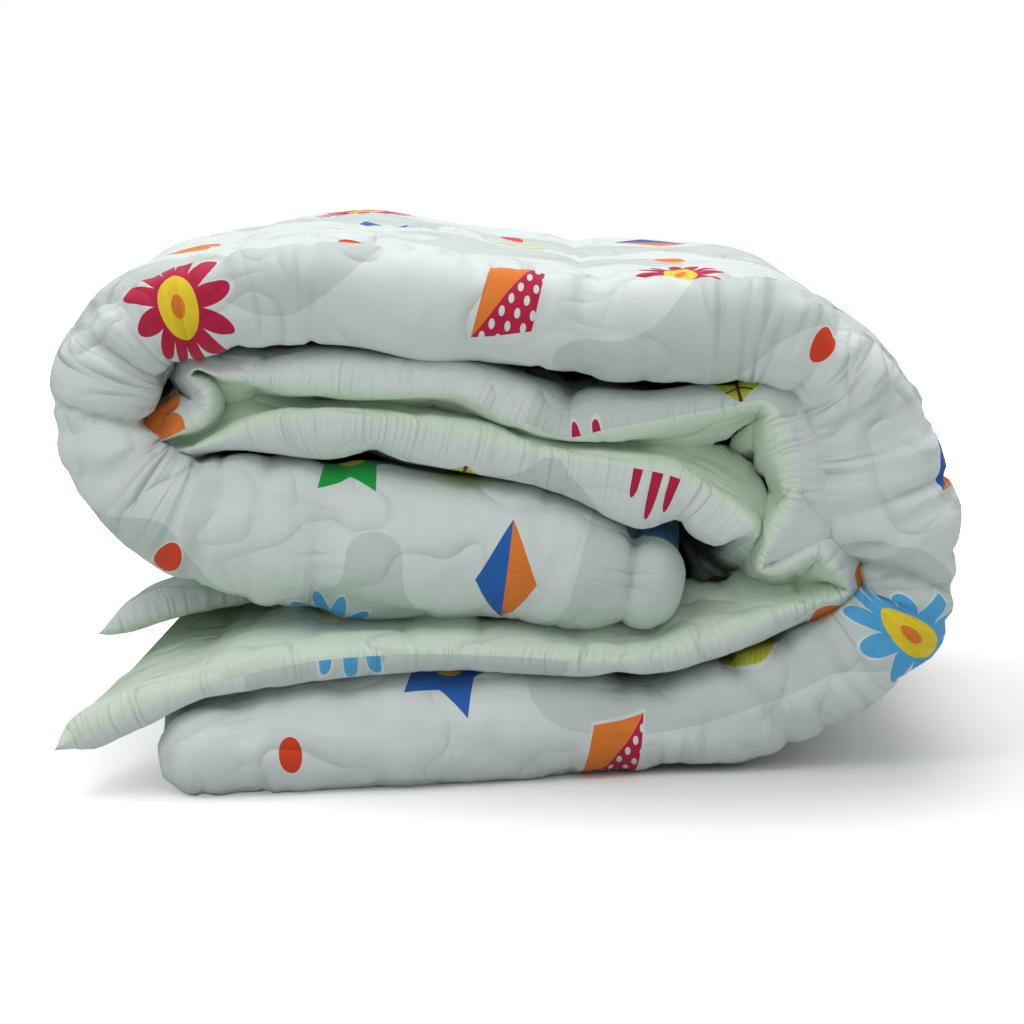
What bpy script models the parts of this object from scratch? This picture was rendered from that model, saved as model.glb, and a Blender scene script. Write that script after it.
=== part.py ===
"""A child's quilted comforter, folded lengthwise in three and rolled up, lying on its side.

The comforter is one filled sheet. Across its width it runs as three layers: layer one is the
outer one, a front fold joins it to layer two, and a back fold joins layer two to layer three,
whose free edge shows at the front. Along its length the three layers roll up together. X runs
along the roll's wide side, Y away from its front, Z up, and the origin is on the floor.
"""

import math

import bmesh
import bpy
import numpy as np

MM = 0.001

# Driving dimensions in millimetres
FRONT = -265.0
BACK = 235.0
LOFT = 17.0
LAYER_GAP = 2.5
EDGE_WIDTH = 24.0
TURN_EASE = 36.0
EASE_STEP = 2.0
EASE_REACH = 72.0
BEND_SPAN = 20.0
BEND_SHARE = 0.5
STRAIGHT = 0.001
NORMAL_REACH = 4.0
TURN_SHARE = 0.85
TURN_THINNING = 0.6
LEAST_ROUNDING = 0.3
OWN_FROM = 29.4
OWN_OVER = 2.4
QUILT_WIDTH = 45.0
QUILT_SHARE = 0.45
FRONT_SETTLE = 95.0
SECOND_SETTLE = 152.0
BUCKLE_FADE = 230.0
DEEP_FADE = 330.0
END_ROUND = 36.0
ROW_STEP = 38.0
FLOOR_PRESS = 3.0

# The front fold along the roll: its centre, half its height, how far it stands back from
# FRONT, and how far the layers behind it swell out
FOLD_COLUMNS = ("x", "z", "half", "recess", "swell")
FOLD = (
    (-244, 28, 28, -62, 0),
    (-222, 32, 32, -62, 0),
    (-187, 36, 36, -60, 0),
    (-117, 40, 40, -45, 0),
    (-39, 42, 42, -30, 0),
    (41, 38, 38, -10, 0),
    (114, 35, 35, 5, 0),
    (173, 48, 38, 12, 0),
    (226, 66, 38, 14, 0),
    (270, 96, 34, 12, 0),
    (300, 132, 35, 10, 0),
    (300, 169, 39, 8, 0),
    (285, 209, 45, 5, 0),
    (270, 250, 45, 2, 0),
    (241, 297, 40, 0, 0),
    (198, 324, 36, 0, 2),
    (141, 328, 38, 0, 4),
    (69, 330, 38, 0, 4),
    (-3, 339, 36, 0, 4),
    (-74, 350, 38, 0, 2),
    (-145, 355, 38, 0, 2),
    (-209, 347, 36, -5, 4),
    (-260, 330, 36, -8, 6),
    (-284, 304, 42, -10, 4),
    (-290, 272, 42, -12, 4),
    (-281, 235, 36, -14, 4),
    (-245, 203, 40, -12, -4),
    (-190, 186, 53, -10, -17),
    (-118, 175, 58, -5, -25),
    (-39, 168, 54, 0, -28),
    (41, 156, 48, 5, -29),
    (90, 144, 41, 10, -29),
    (110, 141, 36, 14, -25),
    (126, 138, 34, 16, -26),
)

# The free front edge of layer three along the roll: its station, counted in rows of FOLD, the
# seam's place, the filling inside and outside the seam, how far the edge stands back, and how
# far the layer buckles aside behind it
EDGE_COLUMNS = ("station", "x", "z", "inside", "outside", "recess", "deep_x", "deep_z")
EDGE = (
    (0.0, -315, 43, 6, 6, -70, 0, -16),
    (0.4, -302, 50, 14, 14, -68, 0, -16),
    (0.9, -271, 64, 17, 17, -64, 0, -10),
    (2.0, -216, 83, 17, 15, -50, 0, 0),
    (2.6, -145, 99, 11, 20, -40, 0, 0),
    (3.5, -74, 103, 9, 18, -28, 0, 0),
    (4.4, -3, 99, 9, 16, -14, 0, 0),
    (5.4, 70, 92, 10, 15, 0, 0, 0),
    (6.0, 111, 93, 10, 16, 8, 0, 0),
    (6.5, 144, 100, 14, 16, 12, 0, 4),
    (7.0, 173, 111, 14, 17, 16, 0, 6),
    (7.5, 205, 124, 10, 13, 22, 0, 4),
    (8.2, 233, 130, 5, 6, 30, 0, 0),
    (8.9, 250, 134, 3, 3, 34, 0, 0),
    (9.2, 254, 138, 3, 3, 34, 0, 0),
    (9.5, 251, 144, 4, 4, 30, 0, 0),
    (9.8, 243, 156, 12, 8, 26, 0, 0),
    (10.1, 230, 169, 10, 9, 22, 0, 0),
    (10.4, 211, 163, 13, 5, 18, 0, 0),
    (10.6, 195, 157, 10, 4, 16, 0, 0),
    (10.75, 188, 158, 8, 3, 14, 0, 0),
    (10.9, 190, 167, 8, 4, 12, 0, 0),
    (11.2, 203, 191, 13, 11, 12, 0, 0),
    (11.5, 210, 207, 12, 11, 12, 0, 0),
    (11.8, 211, 225, 18, 11, 12, 0, 0),
    (12.6, 201, 261, 17, 11, 12, -6, 0),
    (13.3, 195, 276, 12, 7, 12, -8, -6),
    (13.8, 187, 281, 11, 5, 12, -8, -10),
    (14.4, 171, 278, 11, 7, 12, -4, -14),
    (15.4, 142, 273, 12, 12, 12, 0, -18),
    (16.2, 106, 266, 14, 15, 12, 0, -18),
    (16.8, 70, 259, 13, 19, 12, 0, -10),
    (17.2, 47, 254, 7, 22, 12, 0, 0),
    (17.8, 12, 266, 9, 22, 12, 0, 0),
    (18.5, -32, 286, 8, 18, 12, 0, 0),
    (19.2, -75, 288, 9, 19, 12, 0, 0),
    (20.2, -147, 293, 11, 18, 12, 0, 0),
    (21.0, -183, 297, 10, 9, 14, 0, 0),
    (21.6, -205, 299, 6, 5, 18, 0, 0),
    (22.1, -224, 302, 3, 3, 20, 0, 0),
    (22.4, -227, 297, 3, 3, 20, 0, 0),
    (22.8, -218, 290, 8, 7, 18, 0, 0),
    (23.2, -213, 280, 10, 8, 16, 0, 0),
    (23.6, -218, 268, 10, 9, 16, 0, 0),
    (24.0, -231, 259, 9, 8, 16, 0, 0),
    (24.4, -240, 254, 5, 5, 18, 0, 0),
    (24.8, -244, 251, 3, 3, 22, 0, 0),
    (25.2, -242, 246, 3, 3, 24, 0, 0),
    (25.7, -234, 245, 3, 3, 22, 0, 0),
    (26.2, -220, 246, 4, 4, 14, 0, 0),
    (26.7, -187, 259, 9, 16, 10, 0, 0),
    (27.3, -133, 268, 9, 30, 8, 0, 0),
    (28.0, -75, 264, 9, 30, 8, 0, 0),
    (28.8, -17, 251, 13, 26, 8, 0, 0),
    (29.5, 26, 241, 8, 26, 8, 0, 0),
    (30.1, 84, 234, 9, 38, 8, 10, 0),
    (30.7, 128, 224, 12, 44, 8, 20, 0),
    (31.4, 159, 204, 11, 28, 8, 30, 0),
    (32.0, 178, 182, 7, 14, 14, 34, 0),
    (32.6, 172, 166, 8, 8, 58, 32, 0),
    (33.0, 164, 150, 8, 8, 86, 29, 0),
    (33.6, 151, 132, 6, 6, 104, 20, 2),
    (34.4, 128, 121, 5, 5, 118, 8, 1),
    (35.4, 90, 118, 7, 7, 128, 0, 0),
    (37.0, 20, 119, 9, 9, 132, 0, 0),
    (39.0, -60, 122, 10, 10, 130, 0, 0),
    (41.0, -140, 124, 11, 11, 112, 0, 0),
    (42.5, -200, 126, 12, 12, 84, 0, 0),
    (43.5, -246, 122, 12, 12, 60, 6, 0),
    (44.3, -280, 112, 9, 10, 46, 10, 0),
    (44.8, -299, 104, 3, 3, 42, 12, 0),
)

# Where a line of quilting crosses the comforter, and the share of the loft that it leaves
QUILT_COLUMNS = ("station", "share")
QUILT = (
    (2.0, 0.8),
    (5.6, 0.7),
    (10.6, 0.75),
    (14.4, 0.8),
    (17.2, 0.75),
    (20.8, 0.8),
    (24.2, 0.62),
    (27.8, 0.75),
    (31.0, 0.6),
    (36.0, 0.8),
    (40.0, 0.8),
)

# Where the columns of the sheet lie, behind each layer's start
LAYER_ONE = (0.0, 22.0, 48.0, 140.0, 248.0, 272.0, 296.0, 360.0)
LAYER_ONE_SEAMS = (22.0, 272.0)
LAYER_TWO = (90.0, 200.0, 320.0)
LAYER_THREE = (0.0, 130.0, 260.0)
EDGE_STEPS = (24.0, 11.0, 3.5, 0.0)
FOLD_STEPS = 5
END_STATIONS = (0.12, 32.3, 32.8, 44.6)

CLOTH_COLOUR = (0.86, 0.88, 0.87, 1.0)
CLOTH_ROUGHNESS = 0.85


def smooth_step(value):
    """A soft ramp from 0 to 1."""
    value = np.clip(value, 0.0, 1.0)
    return value * value * (3.0 - 2.0 * value)


def chord_lengths(x, z):
    """The length along a run of points."""
    return np.concatenate([[0.0], np.cumsum(np.hypot(np.diff(x), np.diff(z)))])


def curve_through(knots, values, at):
    """A smooth curve through the values at the knots, read at other places."""
    knots = np.asarray(knots, float)
    values = np.asarray(values, float)
    slopes = np.diff(values) / np.diff(knots)
    spans = np.diff(knots)
    inner = (slopes[:-1] * spans[1:] + slopes[1:] * spans[:-1]) / (spans[:-1] + spans[1:])
    tangents = np.concatenate([[slopes[0]], inner, [slopes[-1]]])
    at = np.clip(at, knots[0], knots[-1])
    k = np.clip(np.searchsorted(knots, at, side="right") - 1, 0, len(spans) - 1)
    u = (at - knots[k]) / spans[k]
    span = spans[k]
    return (
        (2 * u**3 - 3 * u**2 + 1) * values[k]
        + (u**3 - 2 * u**2 + u) * span * tangents[k]
        + (3 * u**2 - 2 * u**3) * values[k + 1]
        + (u**3 - u**2) * span * tangents[k + 1]
    )


def columns_of(table, names):
    """The columns of a table by name."""
    return dict(zip(names, np.array(table, float).T))


def swell_to_edge(distance, width):
    """The share of the filling at this distance from a seam, round like a pillow's edge."""
    near = 1.0 - np.clip(distance / width, 0.0, 1.0)
    return np.sqrt(np.clip(1.0 - near * near, 0.0, 1.0))


class Roll:
    """The roll's lines along its length, read at a list of rows."""

    def __init__(self, step):
        fold = columns_of(FOLD, FOLD_COLUMNS)
        edge = columns_of(EDGE, EDGE_COLUMNS)
        fold_along = chord_lengths(fold["x"], fold["z"])
        edge_along = chord_lengths(edge["x"], edge["z"])
        last = len(FOLD) - 1
        pitch = fold_along[-1] / last
        edge_on_fold = np.interp(edge["station"], np.arange(len(FOLD)), fold_along)
        edge_on_fold += np.maximum(edge["station"] - last, 0.0) * pitch
        stations = [edge["station"][0]]
        for k in range(len(EDGE) - 1):
            reach = max(edge_along[k + 1] - edge_along[k], edge_on_fold[k + 1] - edge_on_fold[k])
            count = max(1, math.ceil(reach / step))
            stations += list(np.linspace(edge["station"][k], edge["station"][k + 1], count + 1)[1:])
        stations = np.unique(np.round(stations + list(END_STATIONS), 4))
        self.station = stations
        self.full = stations <= last
        self.length = np.interp(stations, edge["station"], edge_on_fold)
        along = np.minimum(self.length, fold_along[-1])
        for name in FOLD_COLUMNS:
            setattr(self, "fold_" + name, curve_through(fold_along, fold[name], along))
        edge_at = np.interp(stations, edge["station"], edge_along)
        for name in EDGE_COLUMNS[1:]:
            setattr(self, "edge_" + name, curve_through(edge_along, edge[name], edge_at))
        self.edge_length = edge_at
        self.fold_table = fold
        self.fold_along = fold_along
        self.fold_end = fold_along[-1]
        self.inward = self.normals(fold_along, fold, along)
        self.end_distance = np.minimum(self.length, self.fold_end - along)
        self.tail_distance = np.minimum(self.edge_length, edge_along[-1] - edge_at)

    def eased_offset(self, spacing):
        """The place of layer three at the back, whose tight turns are eased into wider ones."""
        along = np.arange(0.0, self.fold_end, EASE_STEP)
        fold = {
            name: curve_through(self.fold_along, self.fold_table[name], along)
            for name in FOLD_COLUMNS
        }
        inward = self.normals(self.fold_along, self.fold_table, along)
        reach = 2.0 * spacing + LOFT - fold["half"] - fold["swell"]
        points = np.stack([fold["x"], fold["z"]], axis=1) + inward * reach[:, None]
        offsets = np.arange(-EASE_REACH, EASE_REACH + EASE_STEP, EASE_STEP)
        weight = np.exp(-0.5 * (offsets / TURN_EASE) ** 2)
        half = len(weight) // 2
        rows = np.minimum(self.length, self.fold_end)
        eased = []
        for values in points.T:
            before = 2.0 * values[0] - values[half:0:-1]
            after = 2.0 * values[-1] - values[-2 : -half - 2 : -1]
            line = np.concatenate([before, values, after])
            smooth = np.convolve(line, weight / weight.sum(), mode="valid")
            eased.append(np.interp(rows, along, smooth))
        return np.stack(eased, axis=1)

    @staticmethod
    def normals(knots, fold, along):
        """The direction across the roll, towards its middle."""
        ahead = np.minimum(along + NORMAL_REACH, knots[-1])
        behind = np.maximum(along - NORMAL_REACH, 0.0)
        dx = curve_through(knots, fold["x"], ahead) - curve_through(knots, fold["x"], behind)
        dz = curve_through(knots, fold["z"], ahead) - curve_through(knots, fold["z"], behind)
        size = np.hypot(dx, dz)
        return np.stack([-dz / size, dx / size], axis=1)


def line_share(distance, share):
    """The share of the loft at this distance from a quilting line."""
    return share + (1.0 - share) * np.sin(0.5 * math.pi * np.clip(distance / QUILT_WIDTH, 0.0, 1.0))


def quilt_share(roll, distance_across):
    """The share of the loft left by the quilting lines, along and across the comforter."""
    quilt = columns_of(QUILT, QUILT_COLUMNS)
    lines = np.interp(quilt["station"], roll.station, roll.length)
    along = line_share(np.abs(roll.length[:, None] - lines[None, :]), quilt["share"]).min(axis=1)
    return np.minimum(along[:, None], line_share(distance_across, QUILT_SHARE)[None, :])


def build_sheet(roll):
    """The sheet's middle surface, its filling on both sides, and which columns are layer three."""
    rows = len(roll.station)
    full_loft = np.full(rows, LOFT)
    centre = np.stack([roll.fold_x, roll.fold_z], axis=1)
    inward = roll.inward
    # The fold's ends are rounded off, and the layers behind lie flat on each other
    rounding = LEAST_ROUNDING + (1.0 - LEAST_ROUNDING) * swell_to_edge(roll.end_distance, END_ROUND)
    radius = (roll.fold_half - LOFT) * rounding
    start = FRONT + roll.fold_recess + roll.fold_half
    outer_front = centre - inward * radius[:, None]
    outer_back = centre - inward * (roll.fold_half - LOFT + roll.fold_swell)[:, None]
    second_front = centre + inward * radius[:, None]
    spacing = 2.0 * LOFT + LAYER_GAP
    second_back = outer_back + inward * spacing
    third_back = roll.eased_offset(spacing)
    # Past the fold's end only layer three goes on, straight behind its own front edge
    edge_front = np.stack([roll.edge_x, roll.edge_z], axis=1)
    aside = np.stack([roll.edge_deep_x, roll.edge_deep_z], axis=1)
    own = smooth_step((roll.station - OWN_FROM) / OWN_OVER)[:, None]
    third_back = third_back * (1.0 - own) + (edge_front + aside) * own
    aside = aside * (1.0 - own)
    third_front_y = FRONT + roll.edge_recess

    middle = []
    across = []
    print_side = []
    reverse_side = []

    def add(point, y, distance, outside, inside):
        middle.append(np.stack([point[:, 0], y, point[:, 1]], axis=1))
        across.append(distance)
        print_side.append(outside)
        reverse_side.append(inside)

    def first_layer(behind):
        settle = smooth_step(behind / FRONT_SETTLE)
        return outer_front * (1.0 - settle) + outer_back * settle

    def second_layer(behind):
        settle = smooth_step(behind / SECOND_SETTLE)
        return second_front * (1.0 - settle) + second_back * settle

    def room_between(behind):
        apart = np.linalg.norm(first_layer(behind) - second_layer(behind), axis=1)
        return np.minimum(LOFT, 0.5 * apart * LOFT / (LOFT + 0.5 * LAYER_GAP))

    fold_inside = np.minimum(LOFT, TURN_SHARE * radius)
    # Layer one, from its free edge at the back to the front fold
    back_steps = [BACK - step for step in reversed(EDGE_STEPS)]
    for y in back_steps:
        share = swell_to_edge(np.full(rows, BACK - y), EDGE_WIDTH)
        add(outer_back, np.full(rows, y), QUILT_WIDTH, LOFT * share, LOFT * share)
    for behind in reversed(LAYER_ONE):
        near = min(abs(behind - seam) for seam in LAYER_ONE_SEAMS)
        add(first_layer(behind), start + behind, near, full_loft, room_between(behind))
    # The front fold
    for k in range(1, FOLD_STEPS):
        angle = math.pi * k / FOLD_STEPS
        point = centre - inward * (radius * math.cos(angle))[:, None]
        add(point, start - radius * math.sin(angle), QUILT_WIDTH, full_loft, fold_inside)
    # Layer two, from the front fold to the back fold
    add(second_front, start, QUILT_WIDTH, full_loft, fold_inside)
    half_turn = np.minimum(0.5 * np.linalg.norm(third_back - second_back, axis=1), LOFT + LAYER_GAP)
    turn_y = BACK - LOFT - half_turn
    for behind in LAYER_TWO:
        add(second_layer(behind), start + behind, QUILT_WIDTH, full_loft, room_between(behind))
    # Where layer three turns back under the roll it is as thin behind as at its edge
    own_row = own[:, 0]
    turn_inside = TURN_SHARE * half_turn * (1.0 - TURN_THINNING * own_row)
    turn_outside = LOFT * (1.0 - TURN_THINNING * own_row)
    deep_outside = LOFT * (1.0 - own_row) + np.minimum(LOFT, roll.edge_outside) * own_row
    deep_inside = LOFT * (1.0 - own_row) + np.minimum(LOFT, roll.edge_inside) * own_row
    # The back fold
    for k in range(0, FOLD_STEPS):
        angle = math.pi * k / FOLD_STEPS
        share = 0.5 - 0.5 * math.cos(angle)
        point = second_back * (1.0 - share) + third_back * share
        add(point, turn_y + half_turn * math.sin(angle), QUILT_WIDTH, turn_inside, turn_outside)
    # Layer three, from the back fold to its free edge
    third_start = len(middle)
    reach = turn_y - third_front_y
    edge_rows = [reach - step for step in EDGE_STEPS]
    for ahead in [np.full(rows, step) for step in LAYER_THREE] + edge_rows:
        to_front = reach - ahead
        front = 1.0 - smooth_step(to_front / BUCKLE_FADE)
        deep = np.sin(math.pi * np.clip(to_front / DEEP_FADE, 0.0, 1.0)) ** 2
        point = third_back * (1.0 - front)[:, None] + edge_front * front[:, None]
        point = point + aside * deep[:, None]
        share = swell_to_edge(to_front, EDGE_WIDTH)
        outside = (deep_outside * (1.0 - front) + roll.edge_outside * front) * share
        inside = (deep_inside * (1.0 - front) + roll.edge_inside * front) * share
        add(point, turn_y - ahead, QUILT_WIDTH, outside, inside)
    middle = np.stack(middle, axis=1)
    return middle, np.array(across), np.stack(print_side, 1), np.stack(reverse_side, 1), third_start


def surface_normals(middle):
    """Unit normals of the middle surface, towards the printed side."""
    along = np.gradient(middle, axis=0)
    across = np.gradient(middle, axis=1)
    normal = np.cross(along, across)
    return normal / np.maximum(np.linalg.norm(normal, axis=2, keepdims=True), 1e-9)


def bend_room(middle, normal):
    """The room inside the bends along the roll, on the printed side and on the reverse."""
    room_print = np.zeros(middle.shape[:2])
    room_reverse = np.zeros(middle.shape[:2])
    for j in range(middle.shape[1]):
        line = middle[:, j]
        along = np.concatenate([[0.0], np.cumsum(np.linalg.norm(np.diff(line, axis=0), axis=1))])
        ahead = np.stack([np.interp(along + BEND_SPAN, along, line[:, k]) for k in range(3)], axis=1)
        behind = np.stack([np.interp(along - BEND_SPAN, along, line[:, k]) for k in range(3)], axis=1)
        bend = np.sum((ahead + behind - 2.0 * line) * normal[:, j], axis=1) / BEND_SPAN**2
        room_print[:, j] = BEND_SHARE / np.maximum(bend, STRAIGHT)
        room_reverse[:, j] = BEND_SHARE / np.maximum(-bend, STRAIGHT)
    return room_print, room_reverse


def shape_sheet(roll):
    """The points of both sides of the sheet."""
    middle, across, outside, inside, third_start = build_sheet(roll)
    normal = surface_normals(middle)
    share = quilt_share(roll, across)
    columns = middle.shape[1]
    is_third = np.arange(columns) >= third_start
    # The filling runs out at the short ends, and round the corner where layer three goes on
    ends = swell_to_edge(roll.end_distance, EDGE_WIDTH)
    tail = swell_to_edge(roll.tail_distance, EDGE_WIDTH)
    end_share = np.where(is_third[None, :], tail[:, None], ends[:, None])
    back_distance = np.abs(middle[:, :, 1] - middle[:, third_start, 1][:, None])
    left = (roll.fold_end - np.minimum(roll.length, roll.fold_end))[:, None]
    to_corner = np.where(roll.full[:, None], np.hypot(back_distance, left), back_distance)
    corner = np.where(is_third[None, :], swell_to_edge(to_corner, EDGE_WIDTH), 1.0)
    outside = outside * share * end_share * corner
    inside = inside * share * end_share * corner
    room_print, room_reverse = bend_room(middle, normal)
    outside = np.minimum(outside, room_print)
    inside = np.minimum(inside, room_reverse)
    print_points = middle + normal * outside[:, :, None]
    reverse_points = middle - normal * inside[:, :, None]
    return middle, print_points, reverse_points, third_start


def sheet_mesh(name, roll):
    """One closed mesh of the sheet's two sides, joined at the seam round its rim."""
    middle, print_points, reverse_points, third_start = shape_sheet(roll)
    rows, columns = middle.shape[:2]
    present = np.ones((rows - 1, columns - 1), bool)
    present[~roll.full[1:], :third_start] = False
    around = np.zeros((rows + 1, columns + 1), bool)
    around[1:-1, 1:-1] = present
    mesh = bmesh.new()
    print_verts = {}
    reverse_verts = {}
    for i in range(rows):
        for j in range(columns):
            touching = around[i : i + 2, j : j + 2]
            if not touching.any():
                continue
            if touching.all():
                print_verts[i, j] = mesh.verts.new(print_points[i, j] * MM)
                reverse_verts[i, j] = mesh.verts.new(reverse_points[i, j] * MM)
            else:
                print_verts[i, j] = mesh.verts.new(middle[i, j] * MM)
                reverse_verts[i, j] = print_verts[i, j]
    for i in range(rows - 1):
        for j in range(columns - 1):
            if not present[i, j]:
                continue
            corners = ((i, j), (i + 1, j), (i + 1, j + 1), (i, j + 1))
            mesh.faces.new([print_verts[corner] for corner in corners])
            mesh.faces.new([reverse_verts[corner] for corner in reversed(corners)])
    for vert in mesh.verts:
        vert.co.z = max(vert.co.z - FLOOR_PRESS * MM, 0.0)
    # The origin is the middle of the box, on the floor
    for axis in (0, 1):
        places = [vert.co[axis] for vert in mesh.verts]
        middle_of_box = 0.5 * (min(places) + max(places))
        for vert in mesh.verts:
            vert.co[axis] -= middle_of_box
    bmesh.ops.triangulate(mesh, faces=mesh.faces[:])
    data = bpy.data.meshes.new(name)
    mesh.to_mesh(data)
    mesh.free()
    return data


def cloth_material():
    """The white cotton of the printed face."""
    material = bpy.data.materials.new("printed cotton")
    material.use_nodes = True
    shader = material.node_tree.nodes["Principled BSDF"]
    shader.inputs["Base Color"].default_value = CLOTH_COLOUR
    shader.inputs["Roughness"].default_value = CLOTH_ROUGHNESS
    shader.inputs["Metallic"].default_value = 0.0
    return material


def main():
    for old in list(bpy.data.objects):
        bpy.data.objects.remove(old)
    data = sheet_mesh("comforter", Roll(ROW_STEP))
    data.materials.append(cloth_material())
    data.shade_smooth()
    comforter = bpy.data.objects.new("comforter", data)
    bpy.context.scene.collection.objects.link(comforter)


main()
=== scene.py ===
"""The looks of a child's printed comforter, folded in three, rolled up and lying on its side.

The cloth follows the same lines as its solid, with finer steps, and adds the gathers of its
seams, its creases and soft puffs. One side is printed cotton and the other is pale mint.
"""

import math

import bpy
import numpy as np
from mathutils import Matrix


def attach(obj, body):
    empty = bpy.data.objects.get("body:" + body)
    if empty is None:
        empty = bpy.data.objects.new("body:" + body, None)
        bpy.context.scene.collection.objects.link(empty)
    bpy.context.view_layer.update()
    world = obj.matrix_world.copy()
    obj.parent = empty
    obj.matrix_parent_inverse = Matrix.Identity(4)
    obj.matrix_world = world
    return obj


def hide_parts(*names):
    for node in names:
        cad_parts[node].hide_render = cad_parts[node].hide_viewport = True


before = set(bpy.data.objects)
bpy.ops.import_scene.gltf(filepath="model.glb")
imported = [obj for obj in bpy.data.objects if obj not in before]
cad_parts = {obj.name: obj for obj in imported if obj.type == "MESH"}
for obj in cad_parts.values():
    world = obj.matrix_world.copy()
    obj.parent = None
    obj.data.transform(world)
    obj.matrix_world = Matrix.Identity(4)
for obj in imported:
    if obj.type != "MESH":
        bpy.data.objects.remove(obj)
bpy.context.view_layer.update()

MM = 0.001

# Driving dimensions in millimetres
FRONT = -265.0
BACK = 235.0
LOFT = 17.0
LAYER_GAP = 2.5
EDGE_WIDTH = 24.0
TURN_EASE = 36.0
EASE_STEP = 2.0
EASE_REACH = 72.0
BEND_SPAN = 20.0
BEND_SHARE = 0.9
STRAIGHT = 0.001
NORMAL_REACH = 4.0
TURN_SHARE = 0.85
TURN_THINNING = 0.6
LEAST_ROUNDING = 0.3
QUILT_WIDTH = 30.0
FAR_FROM_SEAM = 120.0
FOLD_RADIUS = 24.0
QUILT_SHARE = 0.34
FRONT_SETTLE = 95.0
SECOND_SETTLE = 152.0
BUCKLE_FADE = 230.0
DEEP_FADE = 330.0
END_ROUND = 36.0
ROW_STEP = 7.2
FLOOR_PRESS = 3.0
BOX_MIDDLE = (2.7, -50.0)
BEND_GAIN = 90.0
GATHER = 8.0
CREASE = 8.0
LONG_CREASE = 4.0
LINE_GATHER = 3.5
EDGE_GATHER = 2.4
PUFF = 3.6
CRUMPLE = 30.0
CREASE_BOW = 3.0
CREASE_END = 16.0
END_CRUMPLE = 44.0
# Painted shade deep in the roll: the depth from an open end where it starts, and the depth over which
# it darkens fully
PAINTED_SHADE_FROM = 45.0
PAINTED_SHADE_OVER = 110.0

# Along the roll, counted in rows of FOLD: where the roll closes round its start, where layer three
# goes on alone, and where its tail lies open
CLOSED_FROM = 1.6
CLOSED_OVER = 2.0
OWN_FROM = 29.4
OWN_OVER = 2.4
OWN_TO = 34.0
TAIL_FROM = 36.0
TAIL_OVER = 3.0

# Where the gathers and creases lie on the cloth, in millimetres
STITCH_STRIP = 8.0
GATHER_REACH = 42.0
GATHER_SPACING = 19.0
GATHER_RUN = 90.0
GATHER_LEAN = 0.25
FACE_MIDDLE = 20.0
FRONT_FACE = 70.0
FRONT_FACE_FADE = 45.0
TURN_CREASE_SPACING = 34.0
TURN_CREASE_RUN = 150.0
LONG_CREASE_SPACING = 40.0
LONG_CREASE_RUN = 190.0
PUFF_WIDTH = 62.0
PUFF_RUN = 48.0
LINE_GATHER_REACH = 20.0
LINE_GATHER_SPACING = 21.0
EDGE_GATHER_REACH = 18.0
EDGE_GATHER_SPACING = 15.0
GATHER_LEVEL = 0.62
SMALL_LEVEL = 0.6
CREASE_LEVEL = 0.8
BACK_CALM = 60.0
BACK_FADE = 80.0
CRUMPLE_FROM = 26.0
CRUMPLE_OVER = 62.0
END_CRUMPLE_FROM = 75.0
# Painted shade in the valleys between the crumpled folds of the inner cloth: how much deeper it
# starts on the ridges, and the depth over which it darkens
HOLLOW_SHADE_REACH = 85.0
HOLLOW_SHADE_OVER = 46.0

# The front fold along the roll: its centre, half its height, how far it stands back from
# FRONT, and how far the layers behind it swell out
FOLD_COLUMNS = ("x", "z", "half", "recess", "swell")
FOLD = (
    (-244, 28, 28, -62, 0),
    (-222, 32, 32, -62, 0),
    (-187, 36, 36, -60, 0),
    (-117, 40, 40, -45, 0),
    (-39, 42, 42, -30, 0),
    (41, 38, 38, -10, 0),
    (114, 35, 35, 5, 0),
    (173, 48, 38, 12, 0),
    (226, 66, 38, 14, 0),
    (270, 96, 34, 12, 0),
    (300, 132, 35, 10, 0),
    (297, 169, 42, 8, 0),
    (277, 208, 53, 5, 0),
    (267, 249, 49, 2, 0),
    (241, 297, 40, 0, 0),
    (198, 324, 36, 0, 2),
    (141, 328, 38, 0, 4),
    (69, 330, 38, 0, 4),
    (-3, 339, 36, 0, 4),
    (-74, 350, 38, 0, 2),
    (-145, 355, 38, 0, 2),
    (-209, 347, 36, -5, 4),
    (-260, 330, 36, -8, 6),
    (-284, 304, 42, -10, 4),
    (-290, 272, 42, -12, 4),
    (-281, 235, 36, -14, 4),
    (-245, 203, 40, -12, -4),
    (-190, 186, 53, -10, -17),
    (-118, 175, 58, -5, -25),
    (-39, 168, 54, 0, -28),
    (41, 156, 48, 5, -29),
    (90, 144, 41, 10, -29),
    (110, 141, 36, 14, -25),
    (126, 138, 34, 16, -26),
)

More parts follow.
